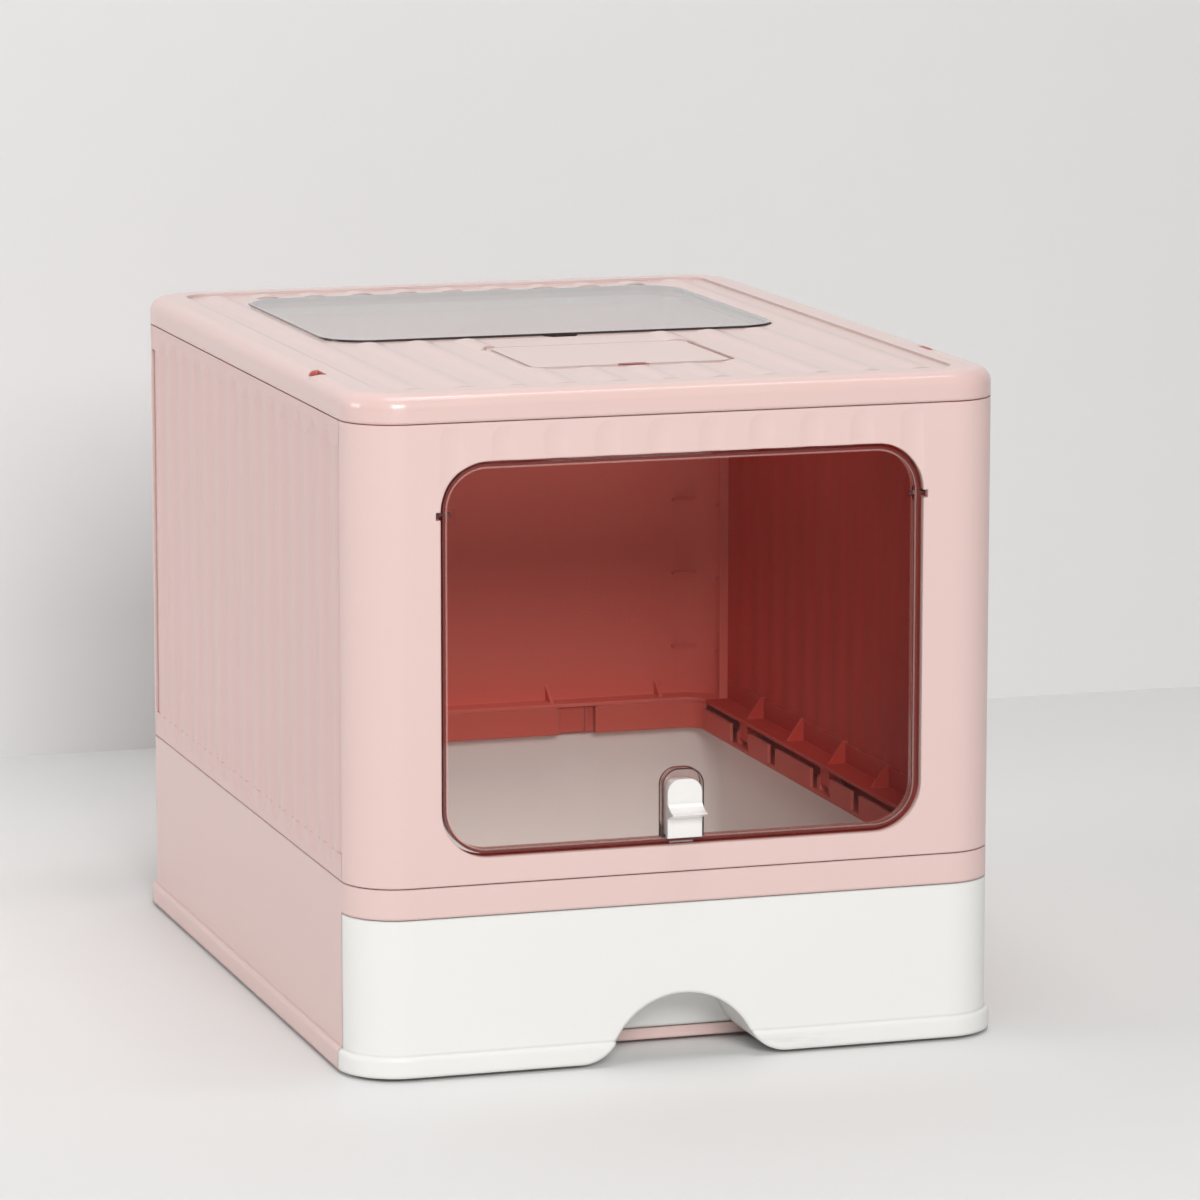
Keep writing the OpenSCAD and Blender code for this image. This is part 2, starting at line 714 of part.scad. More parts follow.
module lid_ribs() {
  crest_r = 26;
  front_end = front_y + rim_w + 6;
  back_end = half_d - rim_w - 6;
  window_front = window_y - window_l / 2;
  for (i = [0 : 5], s = [-1, 1]) {
    x = s * i * rib_pitch;
    spans = abs(x) > window_w / 2 ? [[front_end, back_end]]
      : abs(x) > hatch_w / 2 - 5 ? [[front_end, window_front - 8], [window_back + 10, back_end]]
      : [[front_end, -hatch_y - hatch_l / 2 - 6], [window_back + 10, back_end]];
    if (i > 0 || s > 0) for (p = spans)
      translate([x, p[0], field_z + lid_rib_h - crest_r]) rotate([-90, 0, 0]) linear_extrude(p[1] - p[0])
        intersection() {
          circle(crest_r);
          translate([-crest_r, -crest_r - 1]) square([2 * crest_r, lid_rib_h + 1.4]);
        }
  }
}

module lid() {
  color([0.91, 0.82, 0.80]) translate([0, mid_y, 0]) difference() {
    union() {
      difference() {
        translate([0, 0, lid_z]) soft_block(box_w, box_d, corner_r, lid_h, lid_edge_r);
        translate([0, 0, lid_z - 1])
          soft_block(box_w - 2 * wall, box_d - 2 * wall, corner_r - wall, cavity_h + 1, lid_edge_r - wall);
        slab(box_w - 2 * rim_w, box_d - 2 * rim_w, 14, 0, field_z, 20);
      }
      lid_ribs();
      slab(window_w + 8, window_l + 8, window_r + 4, window_y, seat_z - ledge_t, ledge_t + 0.5);
      slab(hatch_w + 8, hatch_l + 8, hatch_r + 4, -hatch_y, seat_z - ledge_t, ledge_t + 0.5);
      lid_bosses(window_w, window_axis);
      lid_bosses(hatch_w, hatch_axis);
      // ribs that stand on the tongues of the end panels
      for (s = [-1, 1])
        translate([-tongue_l / 2, s * (tongue_y + wall / 2) - wall / 2, tongue_z])
          cube([tongue_l, wall, lid_z + cavity_h + 0.2 - tongue_z]);
    }
    lid_opening(window_w, window_l, window_r, window_y, window_axis);
    lid_opening(hatch_w, hatch_l, hatch_r, -hatch_y, hatch_axis);
    flap_bores(window_w, window_axis);
    flap_bores(hatch_w, hatch_axis);
    // finger notch ahead of the window
    translate([0, window_y - window_l / 2 + 1, lid_z]) linear_extrude(50)
      polygon([[-11, 2], [-11, -4], [-7, -10], [7, -10], [11, -4], [11, 2]]);
    // half-moon slots by the side edges
    for (s = [-1, 1]) translate([s * (half_w - 14.5), moon_y, lid_z + 3]) intersection() {
      cylinder(r = 11, h = 30);
      translate([s > 0 ? 3.5 : -23.5, -20, -1]) cube([20, 40, 40]);
    }
  }
}

module top_window() {
  color([0.75, 0.75, 0.75, 0.5]) translate([0, mid_y, 0]) difference() {
    union() {
      slab(window_w, window_l, window_r, window_y, flap_z, flap_t + window_up);
      flap_ears(window_w, window_axis);
      translate([-3, window_y - window_l / 2 - 2.5, flap_z]) cube([6, 4, flap_t]);
    }
    flap_bores(window_w, window_axis);
  }
}

module deodoriser_hatch() {
  color([0.91, 0.82, 0.80]) translate([0, mid_y, 0]) difference() {
    union() {
      slab(hatch_w, hatch_l, hatch_r, -hatch_y, flap_z, flap_t);
      slab(hatch_w - 4, hatch_l - 8, hatch_r - 2, -hatch_y - 2, field_z - e, 0.8);
      flap_ears(hatch_w, hatch_axis);
    }
    flap_bores(hatch_w, hatch_axis);
    // finger slot along the front edge
    translate([0, -hatch_y - hatch_l / 2 + 4.5, 0]) linear_extrude(lid_z * 2) rounded_rect(17, 3.4, 1.6);
  }
}

cup_front = -hatch_y - hatch_l / 2 + ledge_w - 1;
cup_l = hatch_axis - 9 - cup_front;

module deodoriser_box() {
  top = seat_z - ledge_t;
  cup_w = hatch_w - 2 * ledge_w - 6;
  mid = cup_front + cup_l / 2;
  color([0.88, 0.74, 0.72]) translate([0, mid_y, 0]) difference() {
    union() {
      slab(cup_w, cup_l - 6, 8, mid, top - cup_h, cup_h);
      slab(hatch_w - 4, cup_l, 8, mid, top - wall, wall);
    }
    slab(cup_w - 2 * wall, cup_l - 6 - 2 * wall, 8 - wall, mid, top - cup_h + wall, cup_h);
    // vents in the floor
    for (x = [-4 : 4]) translate([x * 10, mid, top - cup_h - 1]) linear_extrude(wall + 2)
      rounded_rect(3.2, cup_l - 30, 1.5);
  }
}

base_frame();
foot(-1, -1);  // foot_front_left
foot(1, -1);  // foot_front_right
foot(-1, 1);  // foot_rear_left
foot(1, 1);  // foot_rear_right
drawer();
front_panel();
rear_panel();
left_panel();
right_panel();
panel_pin(-1, 0);  // left_pin_front
panel_pin(-1, 1);  // left_pin_middle
panel_pin(-1, 2);  // left_pin_rear
panel_pin(1, 0);  // right_pin_front
panel_pin(1, 1);  // right_pin_middle
panel_pin(1, 2);  // right_pin_rear
door();
door_pin(-1);  // door_pin_left
door_pin(1);  // door_pin_right
latch_guide();
latch_slider();
latch_keeper();
lid();
top_window();
flap_pin(-1, window_w, window_axis);  // window_pin_left
flap_pin(1, window_w, window_axis);  // window_pin_right
deodoriser_hatch();
flap_pin(-1, hatch_w, hatch_axis);  // hatch_pin_left
flap_pin(1, hatch_w, hatch_axis);  // hatch_pin_right
deodoriser_box();
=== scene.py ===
import math

import bmesh
import bpy
from mathutils import Euler, Matrix, Vector


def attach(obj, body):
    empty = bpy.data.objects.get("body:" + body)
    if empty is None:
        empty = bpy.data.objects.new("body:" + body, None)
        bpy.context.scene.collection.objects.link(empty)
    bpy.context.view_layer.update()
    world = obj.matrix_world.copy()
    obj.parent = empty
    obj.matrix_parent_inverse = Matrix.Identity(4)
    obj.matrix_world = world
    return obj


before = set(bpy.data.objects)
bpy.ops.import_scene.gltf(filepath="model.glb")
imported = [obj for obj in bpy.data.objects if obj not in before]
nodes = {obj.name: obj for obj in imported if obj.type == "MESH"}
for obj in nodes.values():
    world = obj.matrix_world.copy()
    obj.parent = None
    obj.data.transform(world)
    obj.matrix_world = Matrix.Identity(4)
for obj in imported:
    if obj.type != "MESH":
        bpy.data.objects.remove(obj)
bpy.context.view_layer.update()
scene = bpy.context.scene
middleY = 0.004  # the box stands this far behind the origin, as its thumb tab sticks out in front
print("frame loaded:", len(nodes), "nodes")


# ---- camera ----

view = {
    "place": (-1.0378, -3.3747, 0.8326),
    "lens": 177.75,
    "sensor": 36.0,
    "tilt": 80.244,
    "turn": -17.55,
    "roll": 0.03,
    "near": 0.1,
    "far": 60,
}

camData = bpy.data.cameras.new("photoCamera")
camData.lens = view["lens"]
camData.sensor_width = view["sensor"]
camData.clip_start = view["near"]
camData.clip_end = view["far"]
cam = bpy.data.objects.new("photoCamera", camData)
turn = Euler((math.radians(view["tilt"]), 0, math.radians(view["turn"])), "XYZ").to_matrix()
roll = Matrix.Rotation(math.radians(view["roll"]), 3, "Z")
cam.matrix_world = Matrix.Translation(view["place"]) @ (turn @ roll).to_4x4()
scene.collection.objects.link(cam)
scene.camera = cam
print("camera set")


# ---- shader building ----

class Wire:  # one output socket of a material, with arithmetic on it
    def __init__(self, mat, socket):
        self.mat = mat
        self.socket = socket

    def math(self, operation, *others, clamp=False):
        values = {0: self}
        for i, other in enumerate(others):
            values[i + 1] = other
        return self.mat.add("ShaderNodeMath", {"operation": operation, "use_clamp": clamp}, values)

    def __add__(self, other):
        return self.math("ADD", other)

    __radd__ = __add__

    def __sub__(self, other):
        return self.math("SUBTRACT", other)

    def __rsub__(self, other):
        return self.mat.add("ShaderNodeMath", {"operation": "SUBTRACT"}, {0: other, 1: self})

    def __mul__(self, other):
        return self.math("MULTIPLY", other)

    __rmul__ = __mul__

    def __pow__(self, other):
        return self.math("POWER", other)

    def __abs__(self):
        return self.math("ABSOLUTE")

    def above(self, level):
        return self.math("GREATER_THAN", level)

    def below(self, level):
        return self.math("LESS_THAN", level)

    def atMost(self, other):
        return self.math("MINIMUM", other)

    def atLeast(self, other):
        return self.math("MAXIMUM", other)

    def held(self):
        return self.math("ADD", 0.0, clamp=True)

    def ramp(self, low, high, toLow=0.0, toHigh=1.0):
        return self.mat.add("ShaderNodeMapRange", {"interpolation_type": "SMOOTHSTEP"}, {
            "Value": self, "From Min": low, "From Max": high, "To Min": toLow, "To Max": toHigh})


class Finish:  # a material under construction
    def __init__(self, name):
        self.material = bpy.data.materials.new(name)
        self.material.use_nodes = True
        self.tree = self.material.node_tree
        self.tree.nodes.clear()
        self.cache = {}

    def add(self, kind, settings=None, values=None, out=0):
        node = self.tree.nodes.new(kind)
        for key, value in (settings or {}).items():
            setattr(node, key, value)
        for key, value in (values or {}).items():
            socket = node.inputs[key]
            if isinstance(value, Wire):
                self.tree.links.new(value.socket, socket)
            elif hasattr(value, "__len__") and socket.type == "RGBA" and len(value) == 3:
                socket.default_value = (*value, 1)
            else:
                socket.default_value = value
        return Wire(self, node.outputs[out]) if len(node.outputs) else node

    def place(self):
        if "place" not in self.cache:
            self.cache["place"] = self.add("ShaderNodeTexCoord", out=3)
        return self.cache["place"]

    def xyz(self):
        if "xyz" not in self.cache:
            parts = self.add("ShaderNodeSeparateXYZ", values={0: self.place()})
            self.cache["xyz"] = [Wire(self, s) for s in parts.socket.node.outputs]
        return self.cache["xyz"]

    def noise(self, scale, detail=2.0, rough=0.5, stretch=None):
        where = self.place()
        if stretch:
            where = self.add("ShaderNodeMapping", values={"Vector": where, "Scale": stretch})
        return self.add("ShaderNodeTexNoise", {"noise_dimensions": "3D"},
                        {"Vector": where, "Scale": scale, "Detail": detail, "Roughness": rough})

    def blend(self, factor, a, b, kind="MIX"):
        return self.add("ShaderNodeMix", {"data_type": "RGBA", "blend_type": kind, "clamp_factor": True},
                        {0: factor, 6: a, 7: b}, out=2)

    def tone(self, colour, factor):
        grey = self.add("ShaderNodeCombineColor", values={0: factor, 1: factor, 2: factor})
        return self.blend(1.0, colour, grey, "MULTIPLY")

    def softNormal(self, radius):
        return self.add("ShaderNodeBevel", {"samples": 4}, {"Radius": radius})

    def faceTurn(self, axis):  # one component of the face's own normal
        normal = self.add("ShaderNodeNewGeometry", out=3)
        return self.add("ShaderNodeSeparateXYZ", values={0: normal}, out=axis)

    def edge(self, soft):  # 1 on a sharp edge, 0 on a plain face
        flat = self.add("ShaderNodeNewGeometry", out=1)
        same = self.add("ShaderNodeVectorMath", {"operation": "DOT_PRODUCT"}, {0: soft, 1: flat}, out=1)
        return (1 - same).ramp(0.01, 0.2)

    def bump(self, height, strength, depth, normal=None):
        values = {"Height": height, "Strength": strength, "Distance": depth}
        if normal is not None:
            values["Normal"] = normal
        return self.add("ShaderNodeBump", values=values)

    def finish(self, shader):
        self.add("ShaderNodeOutputMaterial", values={"Surface": shader})
        return self.material


def mixOf(base, recipe):  # a recipe laid over the base one
    return {**base, **recipe}


# ---- moulded plastics ----

plasticBase = {
    "colour": (0.79, 0.585, 0.555),
    "inner": (0.68, 0.135, 0.10),   # painted shade: deep red laid on the faces that look into the box, the seam gaps and the slot walls
    "innerRough": 0.3,              # how much rougher those are
    "specular": 0.38,
    "mottle": 0.03,
    "cloud": 7.0,                   # scales of the noises
    "streak": 16.0,
    "grain": 1500.0,
    "wave": 30.0,
    "waveDepth": 0.0006,
    "waveStrength": 0.06,
    "grainDepth": 0.00012,
    "grainStrength": 0.10,
    "rough": 0.34,
    "roughSpread": 0.10,
    "edgeRadius": 0.0007,
    # edges lightened towards near white: partly wear, partly a painted highlight
    "edgeWearAndHighlight": 0.25,
    "edgeWearHighlightColour": (0.97, 0.93, 0.91),
    "coat": 0.08,
    "coatRough": 0.2,
    # where the painted shade goes; None paints none
    "inside": None,
    "scuffTop": 0.0,                # height up to which the foot is scuffed
    "scuffColour": (0.55, 0.50, 0.47),
}

outline = {"half": (0.193, 0.256), "radius": 0.031, "middle": middleY}
# the level faces of the gaps at these seams get the painted shade
seams = {"heights": (0.1110, 0.3731), "reach": 0.0012, "deeper": 0.0004}
lidSlots = {"x": 0.1855, "halfX": 0.006, "y": -0.146, "halfY": 0.0125}
lidSeats = {"deeper": 0.0235, "under": 0.3882}
innerFace = {"deeper": 0.0015, "turn": 0.5}    # the front's inner face is less deep than the seat of its door
levelTurn = 0.9
uprightTurn = 0.4


def depthIn(a, b, shape):  # distance in from a rounded outline
    qa = abs(a) - (shape["half"][0] - shape["radius"])
    qb = abs(b - shape["middle"]) - (shape["half"][1] - shape["radius"])
    corner = (qa.atLeast(0.0) ** 2.0 + qb.atLeast(0.0) ** 2.0) ** 0.5
    return shape["radius"] - corner - qa.atLeast(qb).atMost(0.0)


def insideMask(mat, inside):  # 1 where shade is painted: on the faces that look into the box, the level faces of the seam gaps and the slot walls
    x, y, z = mat.xyz()
    depth = depthIn(x, y, outline)
    mask = depth.above(inside["deeper"])
    if "innerFace" in inside:
        mask = mask.atLeast(depth.above(innerFace["deeper"]) * mat.faceTurn(1).above(innerFace["turn"]))
    if "over" in inside:
        mask = mask * z.above(inside["over"])
    if "under" in inside:
        mask = mask * z.below(inside["under"])
    turn = abs(mat.faceTurn(2))
    low, high = [abs(z - height).below(seams["reach"]) for height in seams["heights"]]
    # painted shade in the level faces of the seam gaps
    mask = mask.atLeast(depth.above(seams["deeper"]) * turn.above(levelTurn) * low.atLeast(high))
    if "slots" in inside:  # painted shade on the upright walls of the finger slots and of the seats of the flaps
        besideX = abs(abs(x) - lidSlots["x"]).below(lidSlots["halfX"])
        besideY = abs(y - lidSlots["y"]).below(lidSlots["halfY"])
        seat = depth.above(lidSeats["deeper"]) * z.below(lidSeats["under"])
        mask = mask.atLeast(turn.below(uprightTurn) * (besideX * besideY).atLeast(seat))
    if "slot" in inside:  # painted shade on the upright walls of one slot in the middle
        slot = inside["slot"]
        near = abs(x).below(slot["halfX"]) * abs(y - slot["y"]).below(slot["halfY"])
        mask = mask * near * turn.below(uprightTurn)
    return mask


def plastic(name, recipe):
    r = mixOf(plasticBase, recipe)
    mat = Finish(name)
    z = mat.xyz()[2]
    cloud = mat.noise(r["cloud"], 3.0, 0.55)
    streak = mat.noise(r["streak"], 2.0, 0.5, (1.0, 1.0, 0.18))  # faint flow of the melt
    fine = mat.noise(r["grain"], 2.0, 0.6)
    colour = r["colour"]
    coat = r["coat"]
    inner = 0.0
    # the inner faces, seam gaps and slot walls get a deep red painted shade, no coat, and more roughness
    if r["inside"]:
        inner = insideMask(mat, r["inside"])
        colour = mat.blend(inner, colour, r["inner"])
        coat = (1 - inner) * coat
    shade = 1 + (cloud - 0.5) * r["mottle"] + (streak - 0.5) * (r["mottle"] * 0.7) + (fine - 0.5) * 0.02
    colour = mat.tone(colour, shade)
    soft = mat.softNormal(r["edgeRadius"])
    # lighter edges: partly wear, partly a painted highlight on the rounded edges
    wearAndHighlight = mat.edge(soft) * mat.noise(60.0, 3.0, 0.6).ramp(0.35, 0.65, 0.45, 1.0)
    colour = mat.blend(wearAndHighlight * r["edgeWearAndHighlight"], colour, r["edgeWearHighlightColour"])
    rough = r["rough"] + (cloud - 0.5) * r["roughSpread"] + (fine - 0.5) * 0.05 + inner * r["innerRough"]
    if r["scuffTop"]:  # hair scratches and dust low down, where it is pushed about the floor
        low = z.ramp(0.0, r["scuffTop"], 1.0, 0.0)
        hair = mat.noise(90.0, 4.0, 0.7, (0.12, 0.12, 1.0)).ramp(0.60, 0.72)
        colour = mat.blend(low * hair * 0.22, colour, r["scuffColour"])
        rough = rough + low * hair * 0.2
    wave = mat.noise(r["wave"], 1.0, 0.4)  # slight unevenness of a thin wall
    bump = mat.bump(wave, r["waveStrength"], r["waveDepth"], soft)
    bump = mat.bump(fine, r["grainStrength"], r["grainDepth"], bump)
    shader = mat.add("ShaderNodeBsdfPrincipled", values={
        "Base Color": colour, "Roughness": rough.held(), "Normal": bump,
        "Coat Weight": coat, "Coat Roughness": r["coatRough"],
        "IOR": 1.46, "Specular IOR Level": r["specular"]})
    return mat.finish(shader)


lidLook = {
    "colour": (0.78, 0.56, 0.53),
    "rough": 0.30,
    "coat": 0.45,
    "coatRough": 0.07,
    "edgeRadius": 0.003,
    "grainStrength": 0.05,
}

finishes = {
    "base": plastic("pinkBase", {
        "inside": {"deeper": 0.0016, "over": 0.0925},
        "scuffTop": 0.02, "edgeRadius": 0.0025, "edgeWearAndHighlight": 0.15}),
    "front": plastic("pinkFront", {
        "inside": {"deeper": 0.0042, "innerFace": True, "under": 0.3725},
        "edgeRadius": 0.0016, "edgeWearAndHighlight": 0.12}),
    "rear": plastic("pinkRear", {
        "inner": (0.83, 0.195, 0.15), "inside": {"deeper": 0.0016, "under": 0.3725}}),
    # the side walls' colour is a darker, deeper copy of the pink: painted shade on the sides
    "wall": plastic("pinkWall", {
        "colour": (0.77, 0.54, 0.515), "inner": (0.62, 0.056, 0.036), "inside": {"deeper": 0.0019}}),
    "lid": plastic("pinkLid", mixOf(lidLook, {
        "inside": {"deeper": 0.0016, "under": 0.3855, "slots": True}})),
    "hatch": plastic("pinkHatch", mixOf(lidLook, {
        "inside": {"deeper": 0.0, "slot": {"y": -0.1545, "halfX": 0.0095, "halfY": 0.0028}}})),
    "box": plastic("pinkBox", {"colour": (0.75, 0.53, 0.50)}),
    "white": plastic("whiteDrawer", {
        "colour": (0.86, 0.86, 0.84), "mottle": 0.02, "rough": 0.38, "scuffTop": 0.025,
        "edgeWearAndHighlight": 0.12, "edgeRadius": 0.003}),
    "latch": plastic("whiteLatch", {
        "colour": (0.88, 0.86, 0.84), "mottle": 0.015, "rough": 0.2, "coat": 0.5,
        "coatRough": 0.08, "edgeRadius": 0.001, "edgeWearAndHighlight": 0.3}),
    "pin": plastic("darkPin", {"colour": (0.12, 0.05, 0.045), "rough": 0.28, "edgeWearAndHighlight": 0.05, "coat": 0.3}),
}
print("plastics made")


# ---- see-through plastics ----

sheetBase = {
    "tint": (0.985, 0.955, 0.945),  # what one face passes; a sheet has two
    "haze": 0.003,
    "hazeColour": (0.35, 0.12, 0.10),
    "shine": 0.006,
    "shineRough": 0.06,
    "wave": 0.05,
    "outline": {"half": (0.141, 0.1105), "radius": 0.026, "middle": 0.2385},
    "upright": True,
    "flatBand": False,              # the painted dark edge shade goes on the broad faces only
    "band": 0.0015,                 # width of the painted shade along the edge
    "bandHaze": 0.8,
    "bandColour": (0.16, 0.02, 0.016),
    "line": 0.0010,                 # width of the painted highlight line inside it
    "lineHaze": 0.35,
    "lineColour": (0.75, 0.42, 0.38),
}


def sheet(name, recipe):
    r = mixOf(sheetBase, recipe)
    mat = Finish(name)
    cloud = mat.noise(11.0, 3.0, 0.6)
    smear = mat.noise(45.0, 3.0, 0.65, (1.0, 1.0, 0.25)).ramp(0.45, 0.8)
    hair = mat.noise(120.0, 4.0, 0.7, (0.1, 1.0, 1.6)).ramp(0.62, 0.70)
    bump = mat.bump(mat.noise(18.0, 1.0, 0.4), r["wave"], 0.0006)
    x, y, z = mat.xyz()
    depth = depthIn(x, z if r["upright"] else y, r["outline"])
    # a painted shade band along the outline, and a painted highlight line inside it
    band = depth.below(r["band"])
    if r["flatBand"]:
        band = band * abs(mat.faceTurn(1)).above(0.5)
    line = depth.below(r["band"] + r["line"]) - band
    tint = mat.tone(r["tint"], 1 + (cloud - 0.5) * 0.02)
    # the dull part carries the painted shade band and the painted highlight line over the real haze
    hazeColour = mat.blend(line, mat.blend(band, r["hazeColour"], r["bandColour"]), r["lineColour"])
    wear = smear * 0.008 + hair * 0.01
    haze = r["haze"] * (0.6 + cloud * 0.8) + wear + band * r["bandHaze"] + line * r["lineHaze"]
    clear = mat.add("ShaderNodeBsdfTransparent", values={"Color": tint})
    dull = mat.add("ShaderNodeBsdfPrincipled", values={
        "Base Color": hazeColour, "Roughness": (0.25 + cloud * 0.1), "Normal": bump, "IOR": 1.46})
    body = mat.add("ShaderNodeMixShader", values={0: haze, 1: clear, 2: dull})
    facing = mat.add("ShaderNodeLayerWeight", values={"Blend": 0.5, "Normal": bump}, out=1)
    mirror = mat.add("ShaderNodeBsdfGlossy", values={
        "Color": (1, 1, 1), "Roughness": (r["shineRough"] + smear * 0.05), "Normal": bump})
    whole = mat.add("ShaderNodeMixShader", values={
        0: (r["shine"] + (facing ** 5.0) * (1 - r["shine"])), 1: body, 2: mirror})
    return mat.finish(whole)


finishes["door"] = sheet("roseDoor", {})
finishes["guide"] = sheet("roseGuide", {
    "tint": (0.93, 0.84, 0.82),
    "haze": 0.04,
    "hazeColour": (0.5, 0.3, 0.28),
    "shine": 0.03,
    "outline": {"half": (0.0125, 0.020), "radius": 0.010, "middle": 0.150},
    "flatBand": True,
    "band": 0.0008,
    "bandHaze": 0.95,
    "bandColour": (0.02, 0.006, 0.006),
    "line": 0.0001,
    "lineHaze": 0.0,
})
finishes["window"] = sheet("greyWindow", {
    "tint": (0.955, 0.955, 0.955),
    "haze": 0.21,
    "hazeColour": (0.72, 0.70, 0.69),
    "shine": 0.04,
    "outline": {"half": (0.1415, 0.1095), "radius": 0.028, "middle": 0.093 + middleY},
    "upright": False,
    "band": 0.00045,
    "bandHaze": 0.95,
    "bandColour": (0.03, 0.026, 0.026),
    "line": 0.0008,
    "lineHaze": 0.5,
    "lineColour": (0.88, 0.87, 0.86),
})
print("see-through plastics made")


# ---- metal and rubber ----

def steel(name):
    mat = Finish(name)
    drawn = mat.noise(900.0, 3.0, 0.6, (1.0, 0.03, 1.0))
    colour = mat.tone((0.60, 0.60, 0.61), 0.92 + drawn * 0.16)
    shader = mat.add("ShaderNodeBsdfPrincipled", values={
        "Base Color": colour, "Metallic": 1.0, "Roughness": (0.24 + drawn * 0.16),
        "Normal": mat.bump(drawn, 0.2, 0.0001)})
    return mat.finish(shader)


def rubber(name):
    mat = Finish(name)
    pores = mat.noise(2200.0, 2.0, 0.7)
    dust = mat.noise(40.0, 4.0, 0.6).ramp(0.45, 0.75)
    colour = mat.blend(dust * 0.35, (0.025, 0.025, 0.025), (0.11, 0.10, 0.095))
    shader = mat.add("ShaderNodeBsdfPrincipled", values={
        "Base Color": colour, "Roughness": (0.62 + pores * 0.2), "Normal": mat.bump(pores, 0.3, 0.0002),
        "Sheen Weight": 0.1})
    return mat.finish(shader)


finishes["steel"] = steel("drawnSteel")
finishes["rubber"] = rubber("padRubber")

dress = {
    "base": ["base_frame"],
    "front": ["front_panel"],
    "rear": ["rear_panel"],
    "wall": ["left_panel", "right_panel"],
    "lid": ["lid"],
    "hatch": ["deodoriser_hatch"],
    "box": ["deodoriser_box"],
    "white": ["drawer"],
    "latch": ["latch_slider", "latch_keeper"],
    "pin": [flap + "_pin_" + side for flap in ("door", "window", "hatch") for side in ("left", "right")],
    "door": ["door"],
    "guide": ["latch_guide"],
    "window": ["top_window"],
    "steel": [n for n in nodes if n.startswith(("left_pin", "right_pin"))],
    "rubber": [n for n in nodes if n.startswith("foot_")],
}
bare = set(nodes)
for finish, names in dress.items():
    for name in names:
        mesh = nodes[name].data
        mesh.materials.clear()
        mesh.materials.append(finishes[finish])
        bare.discard(name)
print("nodes dressed, left bare:", sorted(bare))


# ---- soft ribs of the lid ----

lidRibs = {
    "pitch": 0.0302,
    "width": 0.021,
    "height": 0.0010,
    "runOut": 0.013,      # length over which a rib fades at each end
    "shortest": 2.2,      # a rib is at least this many times as long as its fade
    "baseZ": 0.38848,
    "front": -0.228,
    "back": 0.228,
    "hatchFront": -0.169,
    "windowFront": -0.0245,
    "windowBack": 0.2125,
    "verticesX": 15,
    "verticesY": 72,
}


def ribTree(name, r):  # a row of crowned ribs, side by side along X
    tree = bpy.data.node_groups.new(name, "GeometryNodeTree")
    tree.is_modifier = True
    face = tree.interface
    face.new_socket("Geometry", in_out="OUTPUT", socket_type="NodeSocketGeometry")
    inputs = {}
    kinds = {"count": "Int", "pitch": "Float", "width": "Float", "length": "Float",
             "height": "Float", "runOut": "Float", "start": "Vector"}
    for label, kind in kinds.items():
        inputs[label] = face.new_socket(label, in_out="INPUT", socket_type="NodeSocket" + kind).identifier
    finishSocket = face.new_socket("finish", in_out="INPUT", socket_type="NodeSocketMaterial")
    inputs["finish"] = finishSocket.identifier

    def make(kind, settings=None, links=None):
        node = tree.nodes.new(kind)
        for key, value in (settings or {}).items():
            setattr(node, key, value)
        for key, value in (links or {}).items():
            if isinstance(value, bpy.types.NodeSocket):
                tree.links.new(value, node.inputs[key])
            else:
                node.inputs[key].default_value = value
        return node

    def calc(operation, a, b=0.0):
        return make("ShaderNodeMath", {"operation": operation}, {0: a, 1: b}).outputs[0]

    given = make("NodeGroupInput").outputs
    grid = make("GeometryNodeMeshGrid", links={
        "Size X": given["width"], "Size Y": given["length"],
        "Vertices X": r["verticesX"], "Vertices Y": r["verticesY"]})
    spot = make("ShaderNodeSeparateXYZ", links={0: make("GeometryNodeInputPosition").outputs[0]}).outputs
    across = calc("DIVIDE", calc("MULTIPLY", spot[0], 2 * math.pi), given["width"])
    crown = calc("MULTIPLY_ADD", calc("COSINE", across), 0.5)
    crown.node.inputs[2].default_value = 0.5
    ahead = calc("SUBTRACT", calc("MULTIPLY", given["length"], 0.5), calc("ABSOLUTE", spot[1]))
    fade = make("ShaderNodeMapRange", {"interpolation_type": "SMOOTHSTEP"},
                {"Value": ahead, "From Min": 0.0, "From Max": given["runOut"]}).outputs[0]
    lift = calc("MULTIPLY", calc("MULTIPLY", crown, fade), given["height"])
    up = make("ShaderNodeCombineXYZ", links={2: lift}).outputs[0]
    step = make("ShaderNodeCombineXYZ", links={0: given["pitch"]}).outputs[0]
    raised = make("GeometryNodeSetPosition", links={"Geometry": grid.outputs[0], "Offset": up}).outputs[0]
    row = make("GeometryNodeMeshLine", {"mode": "OFFSET"}, {
        "Count": given["count"], "Start Location": given["start"], "Offset": step}).outputs[0]
    spread = make("GeometryNodeInstanceOnPoints", links={"Points": row, "Instance": raised}).outputs[0]
    real = make("GeometryNodeRealizeInstances", links={0: spread}).outputs[0]
    smooth = make("GeometryNodeSetShadeSmooth", links={"Geometry": real}).outputs[0]
    coated = make("GeometryNodeSetMaterial", links={"Geometry": smooth, "Material": given["finish"]})
    make("NodeGroupOutput", links={0: coated.outputs[0]})
    return tree, inputs


def grown(name, tree, inputs, values):  # a plain mesh from one use of a tree
    holder = bpy.data.objects.new(name, bpy.data.meshes.new(name))
    scene.collection.objects.link(holder)
    modifier = holder.modifiers.new("grow", "NODES")
    modifier.node_group = tree
    for label, value in values.items():
        modifier[inputs[label]] = value
    bpy.context.view_layer.update()
    mesh = bpy.data.meshes.new_from_object(holder.evaluated_get(bpy.context.evaluated_depsgraph_get()))
    bpy.data.objects.remove(holder)
    return mesh


def joined(name, meshes):
    whole = bmesh.new()
    for mesh in meshes:
        whole.from_mesh(mesh)
    mesh = bpy.data.meshes.new(name)
    whole.to_mesh(mesh)
    whole.free()
    for slot in meshes[0].materials:
        mesh.materials.append(slot)
    piece = bpy.data.objects.new(name, mesh)
    scene.collection.objects.link(piece)
    return piece


